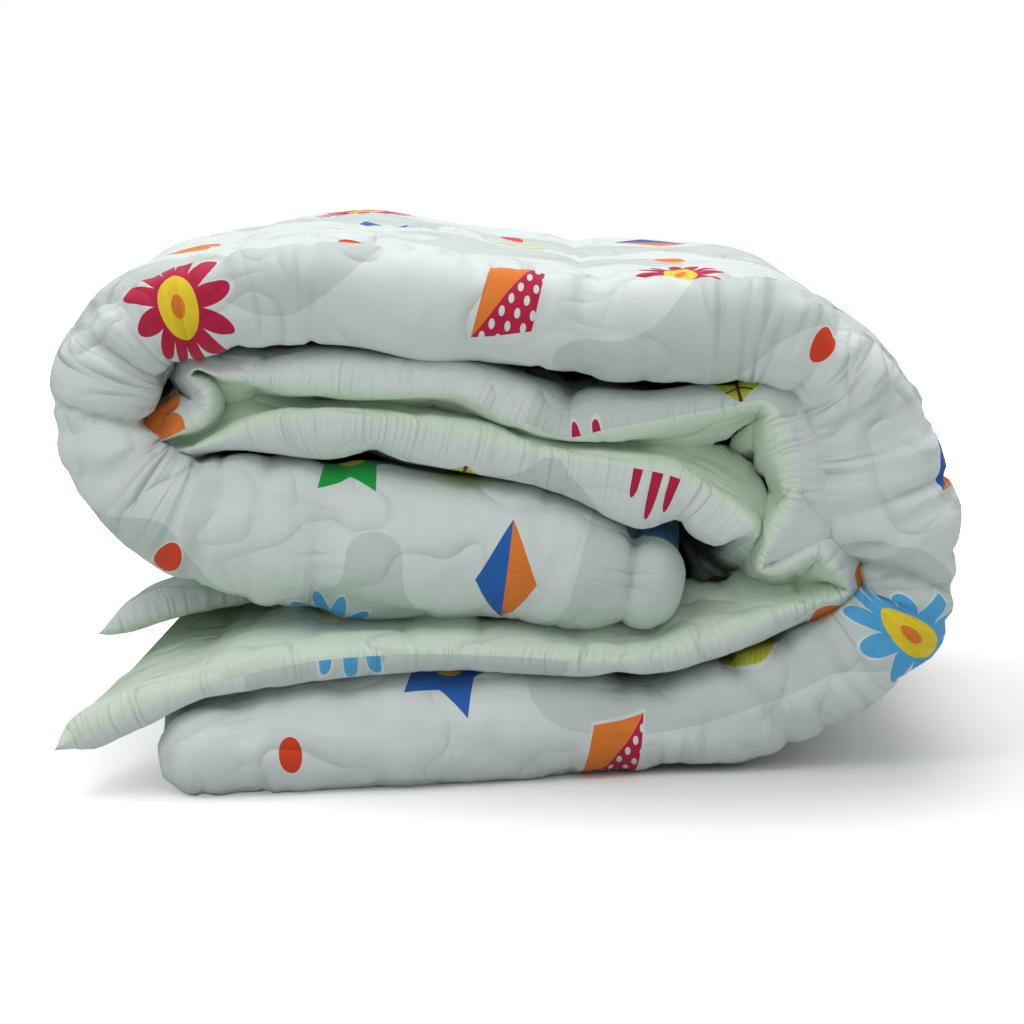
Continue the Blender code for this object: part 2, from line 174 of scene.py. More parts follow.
# The free front edge of layer three along the roll: its station, counted in rows of FOLD, the
# seam's place, the filling inside and outside the seam, how far the edge stands back, and how
# far the layer buckles aside behind it
EDGE_COLUMNS = ("station", "x", "z", "inside", "outside", "recess", "deep_x", "deep_z")
EDGE = (
    (0.0, -315, 43, 6, 6, -70, 0, -16),
    (0.4, -302, 50, 14, 14, -68, 0, -16),
    (0.9, -271, 64, 17, 17, -64, 0, -10),
    (2.0, -216, 83, 17, 15, -50, 0, 0),
    (2.6, -145, 99, 11, 20, -40, 0, 0),
    (3.5, -74, 103, 9, 18, -28, 0, 0),
    (4.4, -3, 99, 9, 16, -14, 0, 0),
    (5.4, 70, 92, 10, 15, 0, 0, 0),
    (6.0, 111, 93, 10, 16, 8, 0, 0),
    (6.5, 144, 100, 14, 16, 12, 0, 4),
    (7.0, 173, 111, 14, 17, 16, 0, 6),
    (7.5, 205, 124, 10, 13, 22, 0, 4),
    (8.2, 233, 130, 5, 6, 30, 0, 0),
    (8.9, 250, 134, 3, 3, 34, 0, 0),
    (9.2, 254, 138, 3, 3, 34, 0, 0),
    (9.5, 251, 144, 4, 4, 30, 0, 0),
    (9.8, 243, 156, 12, 8, 26, 0, 0),
    (10.1, 230, 169, 10, 9, 22, 0, 0),
    (10.4, 211, 163, 13, 5, 18, 0, 0),
    (10.6, 195, 157, 10, 4, 16, 0, 0),
    (10.75, 188, 158, 8, 3, 14, 0, 0),
    (10.9, 190, 167, 8, 4, 12, 0, 0),
    (11.2, 203, 191, 13, 11, 12, 0, 0),
    (11.5, 210, 207, 12, 11, 12, 0, 0),
    (11.8, 211, 225, 18, 11, 12, 0, 0),
    (12.6, 201, 261, 17, 11, 12, -6, 0),
    (13.3, 195, 276, 12, 7, 12, -8, -6),
    (13.8, 187, 281, 11, 5, 12, -8, -10),
    (14.4, 171, 278, 11, 7, 12, -4, -14),
    (15.4, 142, 273, 12, 12, 12, 0, -18),
    (16.2, 106, 266, 14, 15, 12, 0, -18),
    (16.8, 70, 259, 13, 19, 12, 0, -10),
    (17.2, 47, 254, 7, 22, 12, 0, 0),
    (17.8, 12, 266, 9, 22, 12, 0, 0),
    (18.5, -32, 286, 8, 18, 12, 0, 0),
    (19.2, -75, 288, 9, 19, 12, 0, 0),
    (20.2, -147, 293, 11, 18, 12, 0, 0),
    (21.0, -183, 297, 10, 9, 14, 0, 0),
    (21.6, -205, 299, 6, 5, 18, 0, 0),
    (22.1, -224, 302, 3, 3, 20, 0, 0),
    (22.4, -227, 297, 3, 3, 20, 0, 0),
    (22.8, -218, 290, 8, 7, 18, 0, 0),
    (23.2, -213, 280, 10, 8, 16, 0, 0),
    (23.6, -218, 268, 10, 9, 16, 0, 0),
    (24.0, -231, 259, 9, 8, 16, 0, 0),
    (24.4, -243, 253, 6, 5, 18, 0, 0),
    (24.8, -253, 249, 3, 3, 22, 0, 0),
    (25.2, -250, 244, 3, 3, 24, 0, 0),
    (25.7, -237, 243, 3, 3, 22, 0, 0),
    (26.2, -220, 246, 4, 4, 14, 0, 0),
    (26.7, -187, 259, 9, 16, 10, 0, 0),
    (27.3, -133, 268, 9, 30, 8, 0, 0),
    (28.0, -75, 264, 9, 30, 8, 0, 0),
    (28.8, -17, 251, 13, 26, 8, 0, 0),
    (29.5, 26, 241, 8, 26, 8, 0, 0),
    (30.1, 84, 234, 9, 44, 8, 10, 0),
    (30.7, 128, 224, 12, 50, 8, 20, 0),
    (31.4, 160, 204, 11, 38, 8, 30, 0),
    (32.0, 181, 182, 7, 18, 12, 34, 0),
    (32.6, 172, 166, 8, 8, 58, 32, 0),
    (33.0, 164, 150, 8, 8, 86, 29, 0),
    (33.6, 151, 132, 6, 6, 104, 20, 2),
    (34.4, 128, 121, 5, 5, 118, 8, 1),
    (35.4, 90, 118, 7, 7, 128, 0, 0),
    (37.0, 20, 119, 9, 9, 132, 0, 0),
    (39.0, -60, 122, 10, 10, 130, 0, 0),
    (41.0, -140, 124, 11, 11, 112, 0, 0),
    (42.5, -200, 124, 8, 12, 84, 10, -4),
    (43.5, -246, 119, 8, 15, 60, 24, -10),
    (44.3, -280, 109, 7, 14, 46, 38, -14),
    (44.8, -299, 104, 6, 6, 42, 44, -14),
)

# Where a line of quilting crosses the comforter, and the share of the loft that it leaves
QUILT_COLUMNS = ("station", "share")
QUILT = (
    (2.0, 0.8),
    (5.6, 0.7),
    (10.6, 0.75),
    (14.4, 0.8),
    (17.2, 0.75),
    (20.8, 0.8),
    (24.2, 0.62),
    (27.8, 0.75),
    (31.0, 0.6),
    (36.0, 0.8),
    (40.0, 0.8),
)

# Along the roll, the room that layer three's printed side fills up behind its edge
FILL_COLUMNS = ("station", "room")
FILL = (
    (7.0, 0),
    (7.8, 6),
    (8.6, 16),
    (9.2, 20),
    (9.8, 14),
    (10.4, 10),
    (10.9, 26),
    (11.8, 24),
    (12.6, 18),
    (13.4, 12),
    (14.4, 6),
    (16.0, 6),
    (17.6, 3),
    (20.0, 3),
    (21.6, 6),
    (22.4, 12),
    (24.4, 16),
    (25.4, 12),
    (26.4, 0),
)

# Single creases on the front fold: the two ends, how wide and how deep, and the station near it
CREASE_COLUMNS = ("x", "z", "end_x", "end_z", "width", "depth", "station")
CREASES = (
    (-320, 280, -246, 252, 5, 11.0, 23.4),
    (-292, 330, -246, 280, 7, 6.0, 22.8),
    (-268, 346, -232, 296, 6, 4.2, 22.0),
    (-312, 236, -262, 226, 6, 5.1, 24.6),
    (256, 174, 326, 134, 5, 11.0, 10.6),
    (254, 180, 292, 176, 4, 7.5, 11.0),
    (276, 136, 324, 148, 4, 5.1, 10.3),
    (247, 307, 226, 268, 4, 3.4, 13.4),
    (236, 210, 276, 256, 7, 3.4, 12.4),
    (300, 196, 262, 198, 6, 3.4, 11.8),
    (88, 186, 92, 128, 5, 4.2, 31.6),
    (-234, 216, -174, 236, 5, 6.0, 26.4),
    (-216, 204, -96, 232, 6, 5.1, 27.0),
    (-170, 146, -44, 132, 7, 5.1, 27.6),
    (20, 146, 60, 168, 6, 3.4, 29.8),
    (-40, 210, 12, 196, 7, 3.4, 28.8),
    (-196, 48, -120, 30, 6, 3.4, 2.0),
    (158, 76, 212, 32, 5, 7.0, 6.8),
    (166, 64, 196, 52, 4, 4.0, 6.8),
    (-150, 84, -90, 40, 8, 3.0, 3.2),
    (-60, 90, -16, 52, 8, 3.0, 4.2),
)

# Where the columns of the cloth lie, behind each layer's start
LAYER_ONE = tuple(range(0, 150, 6)) + tuple(range(156, 364, 13))
LAYER_ONE_SEAMS = (22.0, 272.0)
LAYER_TWO = (6.0, 13.0, 21.0, 31.0, 44.0, 62.0, 90.0, 140.0, 220.0, 320.0)
LAYER_THREE = (0.0, 18.0, 60.0, 130.0, 200.0, 260.0)
BACK_STEPS = (34.0, 24.0, 17.0, 12.0, 7.5, 4.0, 1.5, 0.0)
EDGE_STEPS = (
    118.0, 98.0, 82.0, 69.0, 58.0, 49.0, 41.0, 34.0, 28.0, 22.5, 17.5, 13.0, 9.2, 6.0, 3.4, 1.4, 0.0
)
FRONT_FOLD_STEPS = 17
BACK_FOLD_STEPS = 9

# The cloth's own measures in metres, for the print: its front fold and its free edge
FOLD_LINE = 0.5
EDGE_LINE = 1.5


def smooth_step(value):
    """A soft ramp from 0 to 1."""
    value = np.clip(value, 0.0, 1.0)
    return value * value * (3.0 - 2.0 * value)


def chord_lengths(x, z):
    """The length along a run of points."""
    return np.concatenate([[0.0], np.cumsum(np.hypot(np.diff(x), np.diff(z)))])


def curve_through(knots, values, at):
    """A smooth curve through the values at the knots, read at other places."""
    knots = np.asarray(knots, float)
    values = np.asarray(values, float)
    slopes = np.diff(values) / np.diff(knots)
    spans = np.diff(knots)
    inner = (slopes[:-1] * spans[1:] + slopes[1:] * spans[:-1]) / (spans[:-1] + spans[1:])
    tangents = np.concatenate([[slopes[0]], inner, [slopes[-1]]])
    at = np.clip(at, knots[0], knots[-1])
    k = np.clip(np.searchsorted(knots, at, side="right") - 1, 0, len(spans) - 1)
    u = (at - knots[k]) / spans[k]
    span = spans[k]
    return (
        (2 * u**3 - 3 * u**2 + 1) * values[k]
        + (u**3 - 2 * u**2 + u) * span * tangents[k]
        + (3 * u**2 - 2 * u**3) * values[k + 1]
        + (u**3 - u**2) * span * tangents[k + 1]
    )


def columns_of(table, names):
    """The columns of a table by name."""
    return dict(zip(names, np.array(table, float).T))


def swell_to_edge(distance, width):
    """The share of the filling at this distance from a seam, round like a pillow's edge."""
    near = 1.0 - np.clip(distance / width, 0.0, 1.0)
    return np.sqrt(np.clip(1.0 - near * near, 0.0, 1.0))


def soft_noise(across, along, seed):
    """Soft noise from -1 to 1 over a plane of unit cells."""
    lattice = np.random.default_rng(seed).uniform(-1.0, 1.0, (256, 256))
    across, along = np.broadcast_arrays(across, along)
    cell_x = np.floor(across).astype(int)
    cell_y = np.floor(along).astype(int)
    part_x = smooth_step(across - cell_x)
    part_y = smooth_step(along - cell_y)

    def corner(dx, dy):
        return lattice[(cell_x + dx) % 256, (cell_y + dy) % 256]

    low = corner(0, 0) * (1.0 - part_x) + corner(1, 0) * part_x
    high = corner(0, 1) * (1.0 - part_x) + corner(1, 1) * part_x
    return low * (1.0 - part_y) + high * part_y


def folds_of(across, along, seed, sharpness):
    """Soft swells from 0 to 1 with sharp valleys between them."""
    return 1.0 - (1.0 - np.abs(soft_noise(across, along, seed))) ** sharpness


def crumpled(along, depth):
    """Irregular folds from 0 to 1 of the cloth deep in the roll."""
    large = folds_of(along / 34.0 + depth / 80.0, depth / 46.0 - along / 120.0, 41, 2.0)
    small = folds_of(along / 17.0 - depth / 60.0, depth / 30.0 + along / 70.0, 43, 2.0)
    return 0.7 * large + 0.3 * small


def closed_in(station):
    """The share of each row that lies inside the roll, and not at its open left end."""
    opened = smooth_step((station - TAIL_FROM) / TAIL_OVER)
    return (smooth_step((station - CLOSED_FROM) / CLOSED_OVER) * (1.0 - opened))[:, None]


class Roll:
    """The roll's lines along its length, read at a list of rows."""

    def __init__(self, step):
        fold = columns_of(FOLD, FOLD_COLUMNS)
        edge = columns_of(EDGE, EDGE_COLUMNS)
        fold_along = chord_lengths(fold["x"], fold["z"])
        edge_along = chord_lengths(edge["x"], edge["z"])
        last = len(FOLD) - 1
        pitch = fold_along[-1] / last
        edge_on_fold = np.interp(edge["station"], np.arange(len(FOLD)), fold_along)
        edge_on_fold += np.maximum(edge["station"] - last, 0.0) * pitch
        stations = [edge["station"][0]]
        for k in range(len(EDGE) - 1):
            reach = max(edge_along[k + 1] - edge_along[k], edge_on_fold[k + 1] - edge_on_fold[k])
            count = max(1, math.ceil(reach / step))
            stations += list(np.linspace(edge["station"][k], edge["station"][k + 1], count + 1)[1:])
        stations = np.unique(np.round(stations, 4))
        self.station = stations
        self.full = stations <= last
        self.length = np.interp(stations, edge["station"], edge_on_fold)
        along = np.minimum(self.length, fold_along[-1])
        for name in FOLD_COLUMNS:
            setattr(self, "fold_" + name, curve_through(fold_along, fold[name], along))
        edge_at = np.interp(stations, edge["station"], edge_along)
        for name in EDGE_COLUMNS[1:]:
            setattr(self, "edge_" + name, curve_through(edge_along, edge[name], edge_at))
        self.edge_length = edge_at
        self.fold_table = fold
        self.fold_along = fold_along
        self.fold_end = fold_along[-1]
        self.inward = self.normals(fold_along, fold, along)
        self.end_distance = np.minimum(self.length, self.fold_end - along)
        self.tail_distance = np.minimum(self.edge_length, edge_along[-1] - edge_at)
        turned = np.abs(np.gradient(self.fold_angle(), self.length))
        self.bend = smooth_step(turned * BEND_GAIN)

    def fold_angle(self):
        """The direction that the front fold runs in, unwrapped along the roll."""
        return np.unwrap(np.arctan2(-self.inward[:, 0], self.inward[:, 1]))

    def eased_offset(self, spacing):
        """The place of layer three at the back, whose tight turns are eased into wider ones."""
        along = np.arange(0.0, self.fold_end, EASE_STEP)
        fold = {
            name: curve_through(self.fold_along, self.fold_table[name], along)
            for name in FOLD_COLUMNS
        }
        inward = self.normals(self.fold_along, self.fold_table, along)
        reach = 2.0 * spacing + LOFT - fold["half"] - fold["swell"]
        points = np.stack([fold["x"], fold["z"]], axis=1) + inward * reach[:, None]
        offsets = np.arange(-EASE_REACH, EASE_REACH + EASE_STEP, EASE_STEP)
        weight = np.exp(-0.5 * (offsets / TURN_EASE) ** 2)
        half = len(weight) // 2
        rows = np.minimum(self.length, self.fold_end)
        eased = []
        for values in points.T:
            before = 2.0 * values[0] - values[half:0:-1]
            after = 2.0 * values[-1] - values[-2 : -half - 2 : -1]
            line = np.concatenate([before, values, after])
            smooth = np.convolve(line, weight / weight.sum(), mode="valid")
            eased.append(np.interp(rows, along, smooth))
        return np.stack(eased, axis=1)

    @staticmethod
    def normals(knots, fold, along):
        """The direction across the roll, towards its middle."""
        ahead = np.minimum(along + NORMAL_REACH, knots[-1])
        behind = np.maximum(along - NORMAL_REACH, 0.0)
        dx = curve_through(knots, fold["x"], ahead) - curve_through(knots, fold["x"], behind)
        dz = curve_through(knots, fold["z"], ahead) - curve_through(knots, fold["z"], behind)
        size = np.hypot(dx, dz)
        return np.stack([-dz / size, dx / size], axis=1)


class Sheet:
    """The cloth's middle surface and the filling on both sides of it, column by column."""

    def __init__(self, roll):
        self.roll = roll
        self.middle = []
        self.seam_distance = []
        self.print_side = []
        self.reverse_side = []
        self.lay_first_and_second()
        self.third_start = len(self.middle)
        self.lay_third()
        self.middle = np.stack(self.middle, axis=1)
        self.seam_distance = np.array(self.seam_distance)
        self.print_side = np.stack(self.print_side, axis=1)
        self.reverse_side = np.stack(self.reverse_side, axis=1)

    def add(self, point, y, outside, inside, seam_distance=FAR_FROM_SEAM):
        self.middle.append(np.stack([point[:, 0], y, point[:, 1]], axis=1))
        self.seam_distance.append(seam_distance)
        self.print_side.append(outside)
        self.reverse_side.append(inside)

    def lay_first_and_second(self):
        roll = self.roll
        rows = len(roll.station)
        centre = np.stack([roll.fold_x, roll.fold_z], axis=1)
        inward = roll.inward
        least = LEAST_ROUNDING
        rounding = least + (1.0 - least) * swell_to_edge(roll.end_distance, END_ROUND)
        radius = (roll.fold_half - LOFT) * rounding
        start = FRONT + roll.fold_recess + roll.fold_half
        outer_front = centre - inward * radius[:, None]
        outer_back = centre - inward * (roll.fold_half - LOFT + roll.fold_swell)[:, None]
        second_front = centre + inward * radius[:, None]
        spacing = 2.0 * LOFT + LAYER_GAP
        second_back = outer_back + inward * spacing
        third_back = roll.eased_offset(spacing)
        edge_front = np.stack([roll.edge_x, roll.edge_z], axis=1)
        aside = np.stack([roll.edge_deep_x, roll.edge_deep_z], axis=1)
        own = smooth_step((roll.station - OWN_FROM) / OWN_OVER)[:, None]
        third_back = third_back * (1.0 - own) + (edge_front + aside) * own

        def first_layer(behind):
            settle = smooth_step(behind / FRONT_SETTLE)
            return outer_front * (1.0 - settle) + outer_back * settle

        def second_layer(behind):
            settle = smooth_step(behind / SECOND_SETTLE)
            return second_front * (1.0 - settle) + second_back * settle

        def room_between(behind):
            apart = np.linalg.norm(first_layer(behind) - second_layer(behind), axis=1)
            return np.minimum(LOFT, 0.5 * apart * LOFT / (LOFT + 0.5 * LAYER_GAP))

        full_loft = np.full(rows, LOFT)
        fold_inside = np.minimum(LOFT, TURN_SHARE * radius)
        # Layer one, from its free edge at the back to the front fold
        for step in reversed(BACK_STEPS):
            share = swell_to_edge(np.full(rows, step), EDGE_WIDTH)
            self.add(outer_back, np.full(rows, BACK - step), LOFT * share, LOFT * share)
        for behind in reversed(LAYER_ONE):
            near = min(abs(behind - seam) for seam in LAYER_ONE_SEAMS)
            room = room_between(float(behind))
            self.add(first_layer(float(behind)), start + behind, full_loft, room, near)
        # The front fold
        for k in range(1, FRONT_FOLD_STEPS):
            angle = math.pi * k / FRONT_FOLD_STEPS
            point = centre - inward * (radius * math.cos(angle))[:, None]
            if 2 * k > FRONT_FOLD_STEPS and not hasattr(self, "apex"):
                self.apex = len(self.middle)
            from_seam = LAYER_ONE_SEAMS[0] + FOLD_RADIUS * angle
            self.add(point, start - radius * math.sin(angle), full_loft, fold_inside, from_seam)
        # Layer two, from the front fold to the back fold
        self.add(second_front, start, full_loft, fold_inside)
        half_turn = 0.5 * np.linalg.norm(third_back - second_back, axis=1)
        half_turn = np.minimum(half_turn, LOFT + LAYER_GAP)
        turn_y = BACK - LOFT - half_turn
        for behind in LAYER_TWO:
            self.add(second_layer(behind), start + behind, full_loft, room_between(behind))
        # Where layer three turns back under the roll it is as thin behind as at its edge
        own_row = own[:, 0]
        turn_inside = TURN_SHARE * half_turn * (1.0 - TURN_THINNING * own_row)
        turn_outside = LOFT * (1.0 - TURN_THINNING * own_row)
        # The back fold
        for k in range(0, BACK_FOLD_STEPS):
            angle = math.pi * k / BACK_FOLD_STEPS
            share = 0.5 - 0.5 * math.cos(angle)
            point = second_back * (1.0 - share) + third_back * share
            self.add(point, turn_y + half_turn * math.sin(angle), turn_inside, turn_outside)
        self.turn_y = turn_y
        self.third_back = third_back
        self.edge_front = edge_front
        self.aside = aside * (1.0 - own)
        self.deep_outside = LOFT * (1.0 - own_row) + np.minimum(LOFT, roll.edge_outside) * own_row
        self.deep_inside = LOFT * (1.0 - own_row) + np.minimum(LOFT, roll.edge_inside) * own_row

    def lay_third(self):
        """Layer three, from the back fold to its free edge."""
        roll = self.roll
        rows = len(roll.station)
        reach = self.turn_y - (FRONT + roll.edge_recess)
        steps = [np.full(rows, step) for step in LAYER_THREE]
        for ahead in steps + [reach - step for step in EDGE_STEPS]:
            to_front = reach - ahead
            front = 1.0 - smooth_step(to_front / BUCKLE_FADE)
            deep = np.sin(math.pi * np.clip(to_front / DEEP_FADE, 0.0, 1.0)) ** 2
            point = self.third_back * (1.0 - front)[:, None] + self.edge_front * front[:, None]
            point = point + self.aside * deep[:, None]
            share = swell_to_edge(to_front, EDGE_WIDTH)
            outside = (self.deep_outside * (1.0 - front) + roll.edge_outside * front) * share
            inside = (self.deep_inside * (1.0 - front) + roll.edge_inside * front) * share
            self.add(point, self.turn_y - ahead, outside, inside)


def line_share(distance, share):
    """The share of the loft at this distance from a quilting line."""
    return share + (1.0 - share) * np.sin(0.5 * math.pi * np.clip(distance / QUILT_WIDTH, 0.0, 1.0))


def quilt_distance(roll):
    """The distance of each row from the nearest line of quilting, and that line's share."""
    quilt = columns_of(QUILT, QUILT_COLUMNS)
    lines = np.interp(quilt["station"], roll.station, roll.length)
    apart = np.abs(roll.length[:, None] - lines[None, :])
    nearest = apart.argmin(axis=1)
    return apart.min(axis=1), quilt["share"][nearest]


def surface_normals(middle):
    """Unit normals of the middle surface, towards the printed side."""
    along = np.gradient(middle, axis=0)
    across = np.gradient(middle, axis=1)
    normal = np.cross(along, across)
    return normal / np.maximum(np.linalg.norm(normal, axis=2, keepdims=True), 1e-9)


def bend_room(middle, normal):
    """The room inside the bends along the roll, on the printed side and on the reverse."""
    room_print = np.zeros(middle.shape[:2])
    room_reverse = np.zeros(middle.shape[:2])
    for j in range(middle.shape[1]):
        line = middle[:, j]
        along = np.concatenate([[0.0], np.cumsum(np.linalg.norm(np.diff(line, axis=0), axis=1))])
        ahead = np.stack([np.interp(along + BEND_SPAN, along, line[:, k]) for k in range(3)], axis=1)
        behind = np.stack([np.interp(along - BEND_SPAN, along, line[:, k]) for k in range(3)], axis=1)
        bend = np.sum((ahead + behind - 2.0 * line) * normal[:, j], axis=1) / BEND_SPAN**2
        room_print[:, j] = BEND_SHARE / np.maximum(bend, STRAIGHT)
        room_reverse[:, j] = BEND_SHARE / np.maximum(-bend, STRAIGHT)
    return room_print, room_reverse


class Cloth:
    """The cloth's two sides, with their gathers and creases, and their places on the print."""

    def __init__(self, sheet):
        roll = sheet.roll
        middle = sheet.middle
        self.roll = roll
        self.sheet = sheet
        columns = middle.shape[1]
        is_third = np.arange(columns) >= sheet.third_start
        normal = surface_normals(middle)
        # Distances along the cloth in millimetres
        steps = np.linalg.norm(np.diff(middle, axis=1), axis=2)
        run = np.concatenate([np.zeros((len(middle), 1)), np.cumsum(steps, axis=1)], axis=1)
        self.from_apex = run - run[:, sheet.apex][:, None]
        self.to_edge = run[:, -1][:, None] - run
        outer = middle[:, sheet.apex - 6]
        apart = np.linalg.norm(np.diff(outer, axis=0), axis=1)
        self.outer_length = np.concatenate([[0.0], np.cumsum(apart)])
        # The filling runs out at the short ends, and round the corner where layer three goes on
        ends = swell_to_edge(roll.end_distance, EDGE_WIDTH)
        tail = swell_to_edge(roll.tail_distance, EDGE_WIDTH)
        end_share = np.where(is_third[None, :], tail[:, None], ends[:, None])
        past = ~roll.full
        back_distance = np.abs(middle[:, :, 1] - middle[:, sheet.third_start, 1][:, None])
        left = (roll.fold_end - np.minimum(roll.length, roll.fold_end))[:, None]
        to_corner = np.where(past[:, None], back_distance, np.hypot(back_distance, left))
        corner = np.where(is_third[None, :], swell_to_edge(to_corner, EDGE_WIDTH), 1.0)
        near_line, line_depth = quilt_distance(roll)
        along_share = line_share(near_line, line_depth)[:, None]
        across_share = line_share(sheet.seam_distance, QUILT_SHARE)[None, :]
        share = np.minimum(along_share, across_share) * end_share * corner
        outside = sheet.print_side * share
        inside = sheet.reverse_side * share
        room_print, room_reverse = bend_room(middle, normal)
        outside = np.minimum(outside + self.print_relief(near_line), room_print)
        inside = np.minimum(inside + self.reverse_relief(near_line), room_reverse)
        outside = np.where(sheet.print_side > 0.0, np.maximum(outside, 0.6), 0.0)
        inside = np.where(sheet.reverse_side > 0.0, np.maximum(inside, 0.6), 0.0)
        self.print_points = middle + normal * outside[:, :, None]
        self.reverse_points = middle - normal * inside[:, :, None]
        self.middle = middle

    def print_relief(self, near_line):
        """Gathers and creases of the printed side, in millimetres."""
        s = self.outer_length[:, None]
        c = self.from_apex
        bend = self.roll.bend[:, None]
        seam = self.sheet.seam_distance[None, :]
        # Gathers run out from the seams
        envelope = smooth_step(seam / STITCH_STRIP) * np.exp(-((seam / GATHER_REACH) ** 2))
        strength = 0.55 + 0.45 * soft_noise(s / 70.0, c / 200.0, 9)
        gathers = folds_of((s + GATHER_LEAN * c) / GATHER_SPACING, c / GATHER_RUN, 3, 3.0)
        gathers = (gathers - GATHER_LEVEL) * GATHER * envelope * strength
        # Creases run across the front fold, deepest where the roll turns
        past_face = np.maximum(np.abs(c + FACE_MIDDLE) - FRONT_FACE, 0.0)
        on_fold = np.exp(-((past_face / FRONT_FACE_FADE) ** 2))
        radial = folds_of(s / TURN_CREASE_SPACING, c / TURN_CREASE_RUN, 7, 4.0)
        radial = (radial - CREASE_LEVEL) * CREASE
        radial = radial * on_fold * (0.3 + 0.7 * bend)
        # Long shallow creases run with the fold between the turns
        lengthwise = folds_of(c / LONG_CREASE_SPACING + s / 260.0, s / LONG_CREASE_RUN, 13, 4.0)
        lengthwise = (lengthwise - CREASE_LEVEL) * LONG_CREASE * (1.0 - 0.6 * bend)
        soft = soft_noise(s / PUFF_WIDTH, c / PUFF_RUN, 11) * PUFF - self.single_creases()
        relief = gathers + radial + lengthwise + soft + self.line_relief(near_line, s, c)
        relief = relief * smooth_step(self.to_edge / 30.0)
        return relief + self.edge_relief(21) + self.crumple(True)

    def single_creases(self):
        """The deep creases that show one by one on the front fold."""
        x = self.sheet.middle[:, :, 0]
        z = self.sheet.middle[:, :, 2]
        near_front = smooth_step((90.0 - np.abs(self.from_apex + FACE_MIDDLE)) / 30.0)
        depth = np.zeros(x.shape)
        for row in CREASES:
            crease = dict(zip(CREASE_COLUMNS, row))
            run_x = crease["end_x"] - crease["x"]
            run_z = crease["end_z"] - crease["z"]
            size = math.hypot(run_x, run_z)
            along = ((x - crease["x"]) * run_x + (z - crease["z"]) * run_z) / size
            aside = ((x - crease["x"]) * run_z - (z - crease["z"]) * run_x) / size
            aside = aside + CREASE_BOW * np.sin(along / size * math.pi)
            ends = smooth_step(along / CREASE_END) * smooth_step((size - along) / CREASE_END)
            near_row = smooth_step(3.0 - np.abs(self.roll.station - crease["station"]))[:, None]
            trough = np.exp(-((aside / crease["width"]) ** 2))
            depth = np.maximum(depth, crease["depth"] * trough * ends * near_row)
        return depth * near_front

    def reverse_relief(self, near_line):
        """Gathers and creases of the mint side, in millimetres."""
        s = self.roll.edge_length[:, None]
        soft = soft_noise(s / 46.0, self.to_edge / 40.0, 31) * PUFF
        creases = folds_of(s / LONG_CREASE_SPACING, self.to_edge / 60.0, 35, 4.0)
        creases = (creases - CREASE_LEVEL) * LONG_CREASE
        relief = soft + creases + self.line_relief(near_line, s, self.to_edge)
        relief = relief * smooth_step(self.to_edge / EDGE_WIDTH)
        return relief + self.edge_relief(33) + self.crumple(False)

    def line_relief(self, near_line, s, c):
        """Small gathers on both sides of the lines of quilting that cross the cloth."""
        near = near_line[:, None]
        envelope = smooth_step(near / STITCH_STRIP) * np.exp(-near / LINE_GATHER_REACH)
        gathers = folds_of(c / LINE_GATHER_SPACING, s / 80.0, 5, 3.0)
        return (gathers - SMALL_LEVEL) * LINE_GATHER * envelope

    def edge_relief(self, seed):
        """Small gathers along the free edge's seam."""
        s = self.roll.edge_length[:, None]
        d = self.to_edge
        envelope = smooth_step(d / 5.0) * np.exp(-d / EDGE_GATHER_REACH)
        gathers = folds_of(s / EDGE_GATHER_SPACING, d / 60.0, seed, 3.0)
        return (gathers - SMALL_LEVEL) * EDGE_GATHER * envelope

    def crumple(self, printed):
        """Deep in the roll the inner cloth is crumpled and fills the hollows between layers."""
        depth = self.sheet.middle[:, :, 1] - FRONT
        behind = BACK - self.sheet.middle[:, :, 1]
        third = np.arange(self.sheet.middle.shape[1]) >= self.sheet.third_start
        s = self.roll.edge_length[:, None]
        station = self.roll.station
        fold = crumpled(s, depth)
        back_fade = smooth_step((behind - BACK_CALM) / BACK_FADE)
        if not printed:
            inside = smooth_step((depth - CRUMPLE_FROM) / CRUMPLE_OVER)
            inside = inside * back_fade * closed_in(station)
            return CRUMPLE * inside * (0.2 + 0.8 * fold) * third
        inside = smooth_step((depth - END_CRUMPLE_FROM) / BACK_FADE) * back_fade
        past_end = smooth_step((station - OWN_FROM) / OWN_OVER) * smooth_step(OWN_TO - station)
        # The buckles' printed side fills the room up to the outer layer
        fill = columns_of(FILL, FILL_COLUMNS)
        room = np.interp(station, fill["station"], fill["room"])[:, None]
        near = smooth_step(self.to_edge / 30.0) * back_fade
        return (END_CRUMPLE * past_end[:, None] * inside + room * near) * third


